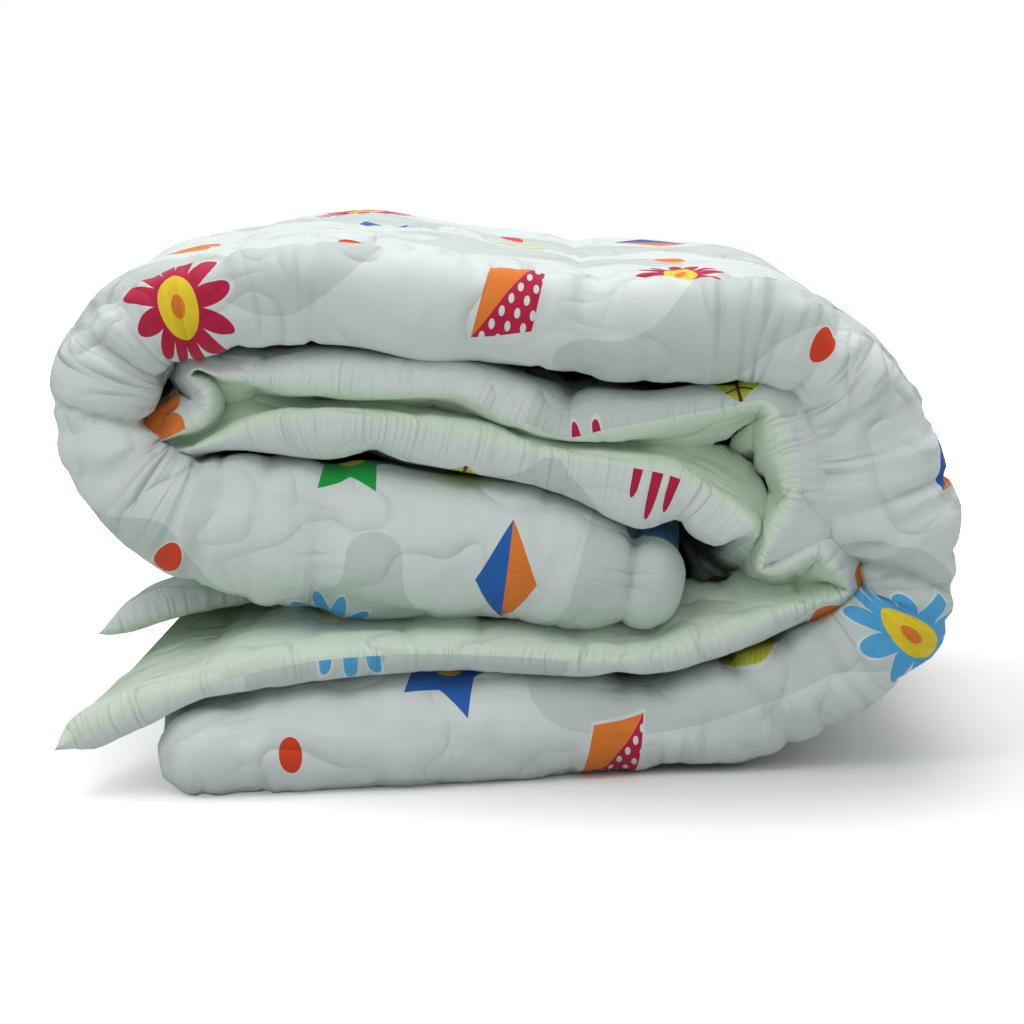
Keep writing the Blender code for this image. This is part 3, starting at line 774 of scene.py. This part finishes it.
def sheet_mesh(name, cloth):
    """One closed mesh of the cloth's two sides, joined at the seam round its rim."""
    sheet = cloth.sheet
    roll = cloth.roll
    rows, columns = cloth.middle.shape[:2]
    present = np.ones((rows - 1, columns - 1), bool)
    present[~roll.full[1:], : sheet.third_start] = False
    around = np.zeros((rows + 1, columns + 1), bool)
    around[1:-1, 1:-1] = present
    count = (
        around[:-1, :-1].astype(int) + around[1:, :-1] + around[:-1, 1:] + around[1:, 1:]
    )
    used = count > 0
    inner = count == 4
    print_index = np.full((rows, columns), -1)
    print_index[used] = np.arange(used.sum())
    reverse_index = print_index.copy()
    reverse_index[inner] = used.sum() + np.arange(inner.sum())
    first = np.where(inner[:, :, None], cloth.print_points, cloth.middle)[used]
    points = np.concatenate([first, cloth.reverse_points[inner]])
    points[:, 0] -= BOX_MIDDLE[0]
    points[:, 1] -= BOX_MIDDLE[1]
    points[:, 2] = np.maximum(points[:, 2] - FLOOR_PRESS, 0.0)
    i, j = np.nonzero(present)
    printed = np.stack(
        [print_index[i, j], print_index[i + 1, j], print_index[i + 1, j + 1], print_index[i, j + 1]],
        axis=1,
    )
    reverse = np.stack(
        [
            reverse_index[i, j],
            reverse_index[i, j + 1],
            reverse_index[i + 1, j + 1],
            reverse_index[i + 1, j],
        ],
        axis=1,
    )
    quads = np.concatenate([printed, reverse])
    data = bpy.data.meshes.new(name)
    data.from_pydata((points * MM).tolist(), [], quads.tolist())
    data.polygons.foreach_set("material_index", [0] * len(printed) + [1] * len(reverse))
    # The place attribute holds each point's place on the print and the painted shade deep in the roll
    place = cloth_places(cloth)
    both = np.concatenate([place[used], place[inner]])
    attribute = data.attributes.new("place", "FLOAT_VECTOR", "POINT")
    attribute.data.foreach_set("vector", both.astype(np.float32).ravel())
    gathers = gather_shares(cloth)
    both = np.concatenate([gathers[used], gathers[inner]])
    attribute = data.attributes.new("gathers", "FLOAT_VECTOR", "POINT")
    attribute.data.foreach_set("vector", both.astype(np.float32).ravel())
    data.update()
    return data


def cloth_places(cloth):
    """Each point's place on the flat cloth in metres, and the painted shade that darkens its colour
    deep in the roll.
    """
    sheet = cloth.sheet
    depth = cloth.middle[:, :, 1] - FRONT
    apex_t = FOLD_LINE + cloth.from_apex * MM
    edge_t = EDGE_LINE - cloth.to_edge * MM
    inner = smooth_step((cloth.from_apex - 190.0) / 150.0)
    t = apex_t * (1.0 - inner) + edge_t * inner
    s = cloth.outer_length[:, None] * (1.0 - inner) + cloth.roll.edge_length[:, None] * inner
    # Painted shade: the colour darkens with the depth from the nearest open end of the roll
    nearest_end = np.minimum(depth, BACK - cloth.middle[:, :, 1])
    wrapped = smooth_step((cloth.from_apex - 40.0) / 30.0)
    shade = smooth_step((nearest_end - PAINTED_SHADE_FROM) / PAINTED_SHADE_OVER) * wrapped
    # Painted shade: between the crumpled folds of the inner cloth the painted shade starts sooner
    third = np.arange(depth.shape[1]) >= sheet.third_start
    inside = closed_in(cloth.roll.station)
    shade = shade * inside
    ridge = crumpled(cloth.roll.edge_length[:, None], depth)
    hollow_shade = smooth_step((depth - CRUMPLE_FROM - HOLLOW_SHADE_REACH * ridge) / HOLLOW_SHADE_OVER)
    hollow_shade = hollow_shade * third * smooth_step((nearest_end - 20.0) / 30.0) * inside
    shade = np.maximum(shade, hollow_shade)
    return np.stack([s * MM, t, shade], axis=2)


def gather_shares(cloth):
    """How strongly each point is gathered across the cloth, along it and at the free edge."""
    roll = cloth.roll
    sheet = cloth.sheet
    seam = sheet.seam_distance[None, :]
    bend = roll.bend[:, None]
    c = cloth.from_apex
    near_line = quilt_distance(roll)[0][:, None]
    on_fold = np.exp(-((np.maximum(np.abs(c + 30.0) - 60.0, 0.0) / 40.0) ** 2))
    across = np.exp(-((seam / 40.0) ** 2)) + 0.08 * on_fold + 0.7 * on_fold * bend
    along = np.broadcast_to(np.exp(-near_line / LINE_GATHER_REACH), c.shape)
    edge = np.exp(-cloth.to_edge / 16.0)
    return np.stack([np.clip(across, 0.0, 1.0), along, edge], axis=2)


class Nodes:
    """Makes a material's nodes from sums written as calls."""

    def __init__(self, material):
        self.tree = material.node_tree

    def node(self, kind, inputs=(), **settings):
        made = self.tree.nodes.new(kind)
        for name, value in settings.items():
            setattr(made, name, value)
        for socket, value in zip(made.inputs, inputs):
            self.put(socket, value)
        return made

    def put(self, socket, value):
        if isinstance(value, bpy.types.NodeSocket):
            self.tree.links.new(value, socket)
        elif value is not None:
            socket.default_value = value

    def math(self, operation, *values):
        return self.node("ShaderNodeMath", values, operation=operation).outputs[0]

    def vector_math(self, operation, *values):
        return self.node("ShaderNodeVectorMath", values, operation=operation).outputs[0]

    def length(self, vector):
        return self.node("ShaderNodeVectorMath", (vector,), operation="LENGTH").outputs["Value"]

    def add(self, a, b):
        return self.math("ADD", a, b)

    def sub(self, a, b):
        return self.math("SUBTRACT", a, b)

    def mul(self, a, b):
        return self.math("MULTIPLY", a, b)

    def less(self, a, b):
        return self.math("LESS_THAN", a, b)

    def wave(self, a):
        return self.math("SINE", a)

    def split(self, vector):
        return self.node("ShaderNodeSeparateXYZ", (vector,)).outputs

    def join(self, x, y, z=0.0):
        return self.node("ShaderNodeCombineXYZ", (x, y, z)).outputs[0]

    def mix(self, share, low, high):
        made = self.node("ShaderNodeMix", data_type="RGBA")
        self.put(made.inputs[0], share)
        self.put(made.inputs[6], low)
        self.put(made.inputs[7], high)
        return made.outputs[2]

    def mix_value(self, share, low, high):
        made = self.node("ShaderNodeMix", data_type="FLOAT")
        self.put(made.inputs[0], share)
        self.put(made.inputs[2], low)
        self.put(made.inputs[3], high)
        return made.outputs[0]

    def random(self, vector):
        """Three numbers from 0 to 1 for each cell."""
        made = self.node("ShaderNodeTexWhiteNoise", (vector,), noise_dimensions="3D")
        return self.node("ShaderNodeSeparateColor", (made.outputs["Color"],)).outputs

    def noise(self, vector, scale, detail=2.0, roughness=0.5):
        made = self.node("ShaderNodeTexNoise")
        self.put(made.inputs["Vector"], vector)
        self.put(made.inputs["Scale"], scale)
        self.put(made.inputs["Detail"], detail)
        self.put(made.inputs["Roughness"], roughness)
        return made.outputs[0]


# The print: one motif in each cell of the cloth, in metres
CELL = 0.122
MOTIF_KINDS = 9
PRINT_START = (0.03, 0.063)
LEAF_TIP = 0.01
HALO = 1.09
OUTSIDE = 2.0
WHITE = (0.735, 0.80, 0.785, 1.0)
PALE_GREY = (0.60, 0.675, 0.65, 1.0)
CRIMSON = (0.52, 0.012, 0.06, 1.0)
DARK_CRIMSON = (0.16, 0.006, 0.035, 1.0)
YELLOW = (0.90, 0.66, 0.03, 1.0)
LIME = (0.50, 0.62, 0.05, 1.0)
PALE_MINT = (0.58, 0.76, 0.60, 1.0)
EMERALD = (0.005, 0.38, 0.05, 1.0)
SKY_BLUE = (0.09, 0.42, 0.78, 1.0)
DEEP_SKY = (0.04, 0.26, 0.62, 1.0)
ROYAL_BLUE = (0.02, 0.13, 0.48, 1.0)
ORANGE = (0.82, 0.22, 0.03, 1.0)
RED_ORANGE = (0.75, 0.06, 0.015, 1.0)
MINT = (0.68, 0.81, 0.67, 1.0)
MINT_PALE = (0.74, 0.85, 0.73, 1.0)
# The near-black colour of the painted shade deep in the roll
PAINTED_SHADE_COLOUR = (0.012, 0.022, 0.016, 1.0)


def print_motifs(nodes, place, ground):
    """Flowers, stars, hearts, leaves, balloons, kites and balls scattered over the ground."""
    s, t, _ = nodes.split(place)
    u = nodes.math("DIVIDE", nodes.sub(s, PRINT_START[0]), CELL)
    column = nodes.math("FLOOR", u)
    half_drop = nodes.mul(nodes.math("MODULO", column, 2.0), 0.5)
    v = nodes.add(nodes.math("DIVIDE", nodes.sub(t, PRINT_START[1]), CELL), half_drop)
    row = nodes.math("FLOOR", v)
    shift, drop, turn = nodes.random(nodes.join(column, row, 3.0))[:3]
    tint, size, spare = nodes.random(nodes.join(column, row, 8.0))[:3]
    x = nodes.sub(nodes.sub(u, column), nodes.add(0.41, nodes.mul(shift, 0.18)))
    y = nodes.sub(nodes.sub(v, row), nodes.add(0.41, nodes.mul(drop, 0.18)))
    scale = nodes.add(0.72, nodes.mul(size, 0.24))
    rotated = nodes.node("ShaderNodeVectorRotate", rotation_type="Z_AXIS")
    sized = nodes.join(nodes.math("DIVIDE", x, scale), nodes.math("DIVIDE", y, scale))
    nodes.put(rotated.inputs["Vector"], sized)
    nodes.put(rotated.inputs["Angle"], nodes.mul(turn, 2.0 * math.pi))
    x, y, _ = nodes.split(rotated.outputs[0])
    radius = nodes.length(rotated.outputs[0])
    angle = nodes.math("ARCTAN2", y, x)
    side_x = nodes.math("ABSOLUTE", x)
    side_y = nodes.math("ABSOLUTE", y)
    pick = nodes.add(nodes.mul(column, 3.0), nodes.mul(row, 5.0))
    kind = nodes.math("FLOORED_MODULO", pick, float(MOTIF_KINDS))
    tinted = nodes.math("GREATER_THAN", tint, 0.5)

    # A flower with slender petals round a yellow middle
    petals = nodes.math("ABSOLUTE", nodes.wave(nodes.mul(angle, 6.0)))
    flower = nodes.math("DIVIDE", radius, nodes.add(0.16, nodes.mul(petals, 0.20)))
    disc = nodes.less(radius, 0.13)
    ring = nodes.less(radius, 0.045)
    flower_colour = nodes.mix(disc, nodes.mix(tinted, CRIMSON, SKY_BLUE), YELLOW)
    flower_colour = nodes.mix(ring, flower_colour, ORANGE)
    # A leaf with dark veins
    bow = nodes.sub(0.19, nodes.mul(nodes.mul(y, y), 1.9))
    leaf = nodes.math("DIVIDE", side_x, nodes.math("MAXIMUM", bow, LEAF_TIP))
    leaf = nodes.add(leaf, nodes.less(bow, LEAF_TIP))
    rib = nodes.less(side_x, 0.012)
    slant = nodes.math("FRACT", nodes.mul(nodes.sub(y, nodes.mul(side_x, 0.9)), 7.0))
    vein = nodes.mul(nodes.less(slant, 0.12), nodes.less(side_x, 0.10))
    greens = nodes.mix(nodes.math("GREATER_THAN", spare, 0.5), PALE_MINT, EMERALD)
    leaf_colour = nodes.mix(tinted, LIME, greens)
    leaf_colour = nodes.mix(nodes.math("MAXIMUM", rib, vein), leaf_colour, DARK_CRIMSON)
    # A striped balloon
    balloon = nodes.math("DIVIDE", radius, nodes.add(0.27, nodes.mul(y, 0.16)))
    stripe = nodes.less(nodes.math("FRACT", nodes.mul(y, 22.0)), 0.35)
    skin = nodes.mix(tinted, SKY_BLUE, LIME)
    balloon_colour = nodes.mix(stripe, skin, nodes.mix(tinted, DEEP_SKY, YELLOW))
    # A kite in two colours with dots
    kite = nodes.add(nodes.math("DIVIDE", side_x, 0.24), nodes.math("DIVIDE", side_y, 0.33))
    half = nodes.less(x, 0.0)
    dot_x = nodes.sub(nodes.math("FRACT", nodes.mul(x, 13.0)), 0.5)
    dot_y = nodes.sub(nodes.math("FRACT", nodes.mul(y, 13.0)), 0.5)
    dot = nodes.less(nodes.add(nodes.mul(dot_x, dot_x), nodes.mul(dot_y, dot_y)), 0.07)
    dotted = nodes.mix(dot, CRIMSON, WHITE)
    kite_colour = nodes.mix(half, ORANGE, nodes.mix(tinted, dotted, ROYAL_BLUE))
    # A heart
    lift = nodes.sub(y, nodes.mul(nodes.math("SQRT", side_x), 0.42))
    heart = nodes.math("SQRT", nodes.add(nodes.mul(x, x), nodes.mul(lift, lift)))
    heart = nodes.math("DIVIDE", heart, 0.23)
    heart_colour = nodes.mix(tinted, dotted, ORANGE)
    # A star
    fifth = 0.4 * math.pi
    point = nodes.math("PINGPONG", nodes.add(angle, 4.0 * fifth), 0.5 * fifth)
    reach = nodes.add(nodes.math("COSINE", point), nodes.mul(nodes.wave(point), 1.7))
    star = nodes.math("DIVIDE", nodes.mul(radius, reach), 0.33)
    star_colour = nodes.mix(tinted, ROYAL_BLUE, EMERALD)
    star_colour = nodes.mix(nodes.less(radius, 0.08), star_colour, YELLOW)
    # A small ball
    ball = nodes.math("DIVIDE", radius, 0.09)
    field = flower
    colour = flower_colour
    motifs = (
        (leaf, leaf_colour),
        (balloon, balloon_colour),
        (kite, kite_colour),
        (heart, heart_colour),
        (star, star_colour),
        (ball, RED_ORANGE),
    )
    for number, (shape, paint) in enumerate(motifs):
        chosen = nodes.math("GREATER_THAN", kind, number + 0.5)
        field = nodes.mix_value(chosen, field, shape)
        colour = nodes.mix(chosen, colour, paint)
    # The last cells stay bare
    bare = nodes.math("GREATER_THAN", kind, len(motifs) + 0.5)
    field = nodes.mix_value(bare, field, OUTSIDE)
    with_halo = nodes.mix(nodes.less(field, HALO), ground, WHITE)
    return nodes.mix(nodes.less(field, 1.0), with_halo, colour)


def pale_sweeps(nodes, place):
    """Broad pale grey sweeps behind the motifs."""
    s, t, _ = nodes.split(place)
    sweep = nodes.noise(nodes.join(s, nodes.mul(t, 1.7), 2.0), 6.0, 0.0)
    return nodes.mix(nodes.less(sweep, 0.45), WHITE, PALE_GREY)


WEAVE_COUNT = 9000.0
WEAVE_DEPTH = 0.00003
FUZZ_DEPTH = 0.0012
PUCKER_DEPTH = 0.017
DIMPLE_DEPTH = 0.0045
# Fine valleys in the cloth's material: where they lie, how many to a metre along and across the
# cloth, how sharp they are, and how deep in metres
VALLEYS = (
    ("across", 36.0, 9.0, 4.0, 0.0032),
    ("along", 8.0, 60.0, 4.0, 0.0018),
    ("edge", 95.0, 14.0, 3.0, 0.0014),
    ("everywhere", 11.0, 17.0, 9.0, 0.0026),
)


def valleys(nodes, s, t, along, across, sharpness):
    """Sharp valleys between soft swells, at so many to a metre along and across the cloth."""
    drift = nodes.noise(nodes.join(s, t, 5.0), 11.0)
    s = nodes.add(s, nodes.mul(drift, 0.06))
    noise = nodes.noise(nodes.join(nodes.mul(s, along), nodes.mul(t, across)), 1.0, 1.5, 0.5)
    swell = nodes.math("ABSOLUTE", nodes.sub(nodes.mul(noise, 5.0), 2.5))
    low = nodes.math("MAXIMUM", nodes.sub(1.0, swell), 0.0)
    return nodes.math("POWER", low, 0.5 * sharpness)


def cloth_material(name, printed):
    """Woven cotton, printed or in mint, with painted shade darkening its colour deep inside the roll.
    """
    material = bpy.data.materials.new(name)
    material.use_nodes = True
    nodes = Nodes(material)
    shader = nodes.tree.nodes["Principled BSDF"]
    place = nodes.node("ShaderNodeAttribute", attribute_name="place").outputs["Vector"]
    s, t, shade = nodes.split(place)
    flat = nodes.join(s, t)
    if printed:
        colour = print_motifs(nodes, place, pale_sweeps(nodes, place))
    else:
        colour = nodes.mix(nodes.noise(flat, 9.0), MINT, MINT_PALE)
    # Painted shade: the colour is mixed towards near black deep in the roll
    nodes.put(shader.inputs["Base Color"], nodes.mix(nodes.mul(shade, 0.97), colour, PAINTED_SHADE_COLOUR))
    shader.inputs["Roughness"].default_value = 0.78
    shader.inputs["Sheen Weight"].default_value = 0.12
    shader.inputs["Sheen Roughness"].default_value = 0.5
    shader.inputs["Specular IOR Level"].default_value = 0.25
    warp = nodes.wave(nodes.mul(s, WEAVE_COUNT))
    weft = nodes.wave(nodes.mul(t, WEAVE_COUNT))
    weave = nodes.mul(warp, weft)
    gathers = nodes.node("ShaderNodeAttribute", attribute_name="gathers").outputs["Vector"]
    across, along, edge = nodes.split(gathers)
    height = nodes.mul(nodes.noise(flat, 60.0, 4.0, 0.6), FUZZ_DEPTH)
    height = nodes.add(height, nodes.mul(weave, WEAVE_DEPTH))
    patches = nodes.node("ShaderNodeMapRange", (nodes.noise(flat, 13.0), 0.36, 0.60, 0.0, 1.0))
    across = nodes.mul(across, patches.outputs[0])
    pucker = nodes.noise(nodes.join(nodes.mul(s, 46.0), nodes.mul(t, 10.0)), 1.0, 1.0)
    height = nodes.add(height, nodes.mul(pucker, nodes.mul(across, PUCKER_DEPTH)))
    height = nodes.add(height, nodes.mul(nodes.noise(flat, 26.0, 1.0), DIMPLE_DEPTH))
    shares = {"across": across, "along": along, "edge": edge, "everywhere": 1.0}
    for share, along_metre, across_metre, sharpness, depth in VALLEYS:
        low = valleys(nodes, s, t, along_metre, across_metre, sharpness)
        height = nodes.sub(height, nodes.mul(low, nodes.mul(shares[share], depth)))
    bump = nodes.node("ShaderNodeBump")
    bump.inputs["Strength"].default_value = 1.0
    bump.inputs["Distance"].default_value = 1.0
    nodes.put(bump.inputs["Height"], height)
    nodes.put(shader.inputs["Normal"], bump.outputs[0])
    return material


SHADOW_CENTRE = (0.22, 0.0, 0.0)
FLOOR_WHITE = (0.93, 0.93, 0.93, 1.0)
FLOOR_BOUNCE = (0.62, 0.65, 0.63, 1.0)


def floor_material():
    """Pale paint that runs out into plain white away from the comforter."""
    material = bpy.data.materials.new("floor_paint")
    material.use_nodes = True
    nodes = Nodes(material)
    shader = nodes.tree.nodes["Principled BSDF"]
    shader.inputs["Roughness"].default_value = 0.9
    shader.inputs["Specular IOR Level"].default_value = 0.1
    place = nodes.node("ShaderNodeTexCoord").outputs["Object"]
    from_comforter = nodes.length(nodes.vector_math("SUBTRACT", place, SHADOW_CENTRE))
    reach = (from_comforter, 0.2, 1.0, 0.0, 1.0)
    ramp = nodes.node("ShaderNodeMapRange", reach, interpolation_type="SMOOTHSTEP")
    seen = nodes.node("ShaderNodeLightPath").outputs["Is Camera Ray"]
    nodes.put(shader.inputs["Base Color"], nodes.mix(seen, FLOOR_BOUNCE, FLOOR_WHITE))
    shader.inputs["Emission Color"].default_value = (1.0, 1.0, 1.0, 1.0)
    nodes.put(shader.inputs["Emission Strength"], nodes.mul(ramp.outputs[0], seen))
    return material


def make_comforter():
    sheet = Sheet(Roll(ROW_STEP))
    cloth = Cloth(sheet)
    data = sheet_mesh("comforter_cloth", cloth)
    data.materials.append(cloth_material("printed_cotton", True))
    data.materials.append(cloth_material("mint_cotton", False))
    data.shade_smooth()
    comforter = bpy.data.objects.new("comforter_cloth", data)
    bpy.context.scene.collection.objects.link(comforter)
    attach(comforter, "root")
    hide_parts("comforter")
    return comforter


# The camera and the studio, in metres
CAMERA_PLACE = (0.0033, -2.200, 0.500)
CAMERA_PITCH = 8.63
CAMERA_LENS = 98.4
FLOOR_SIZE = 12.0
SKY_LEVEL = 0.10
SKY_RISE = 0.90
SKY_LEAST = 0.08


def make_camera():
    data = bpy.data.cameras.new("camera")
    data.lens = CAMERA_LENS
    data.sensor_width = 36.0
    camera = bpy.data.objects.new("camera", data)
    camera.location = CAMERA_PLACE
    camera.rotation_euler = (math.radians(90.0 - CAMERA_PITCH), 0.0, 0.0)
    bpy.context.scene.collection.objects.link(camera)
    bpy.context.scene.camera = camera
    bpy.context.scene.view_settings.view_transform = "Standard"


LIGHT_COLUMNS = ("x", "y", "z", "size", "power", "aim_z")
LIGHTS = {
    "key": (-1.3, -1.6, 2.3, 1.2, 13.0, 0.2),
    "fill": (0.9, -2.8, 1.1, 1.6, 2.0, 0.2),
    "top": (0.2, 0.7, 2.8, 2.0, 32.0, 0.2),
}


def make_light(name, row):
    values = dict(zip(LIGHT_COLUMNS, row))
    data = bpy.data.lights.new(name, "AREA")
    data.shape = "DISK"
    data.size = values["size"]
    data.energy = values["power"]
    light = bpy.data.objects.new(name, data)
    light.location = (values["x"], values["y"], values["z"])
    away = light.location.copy()
    away.z -= values["aim_z"]
    light.rotation_euler = away.to_track_quat("Z", "Y").to_euler()
    bpy.context.scene.collection.objects.link(light)


def make_studio():
    data = bpy.data.meshes.new("floor")
    half = 0.5 * FLOOR_SIZE
    corners = [(-half, -half, 0.0), (half, -half, 0.0), (half, half, 0.0), (-half, half, 0.0)]
    data.from_pydata(corners, [], [(0, 1, 2, 3)])
    data.materials.append(floor_material())
    floor = bpy.data.objects.new("floor", data)
    bpy.context.scene.collection.objects.link(floor)
    for name, row in LIGHTS.items():
        make_light(name, row)
    world = bpy.data.worlds.new("studio")
    world.use_nodes = True
    nodes = Nodes(world)
    direction = nodes.node("ShaderNodeTexCoord").outputs["Generated"]
    height = nodes.split(direction)[2]
    slope = nodes.add(SKY_LEVEL, nodes.mul(height, SKY_RISE))
    sky = nodes.math("SMOOTH_MIN", slope, 1.0, 0.1)
    light = nodes.math("MAXIMUM", sky, SKY_LEAST)
    seen = nodes.node("ShaderNodeLightPath").outputs["Is Camera Ray"]
    background = nodes.tree.nodes["Background"]
    background.inputs["Color"].default_value = (1.0, 1.0, 1.0, 1.0)
    nodes.put(background.inputs["Strength"], nodes.mix_value(seen, light, 1.0))
    bpy.context.scene.world = world


make_camera()
make_comforter()
make_studio()
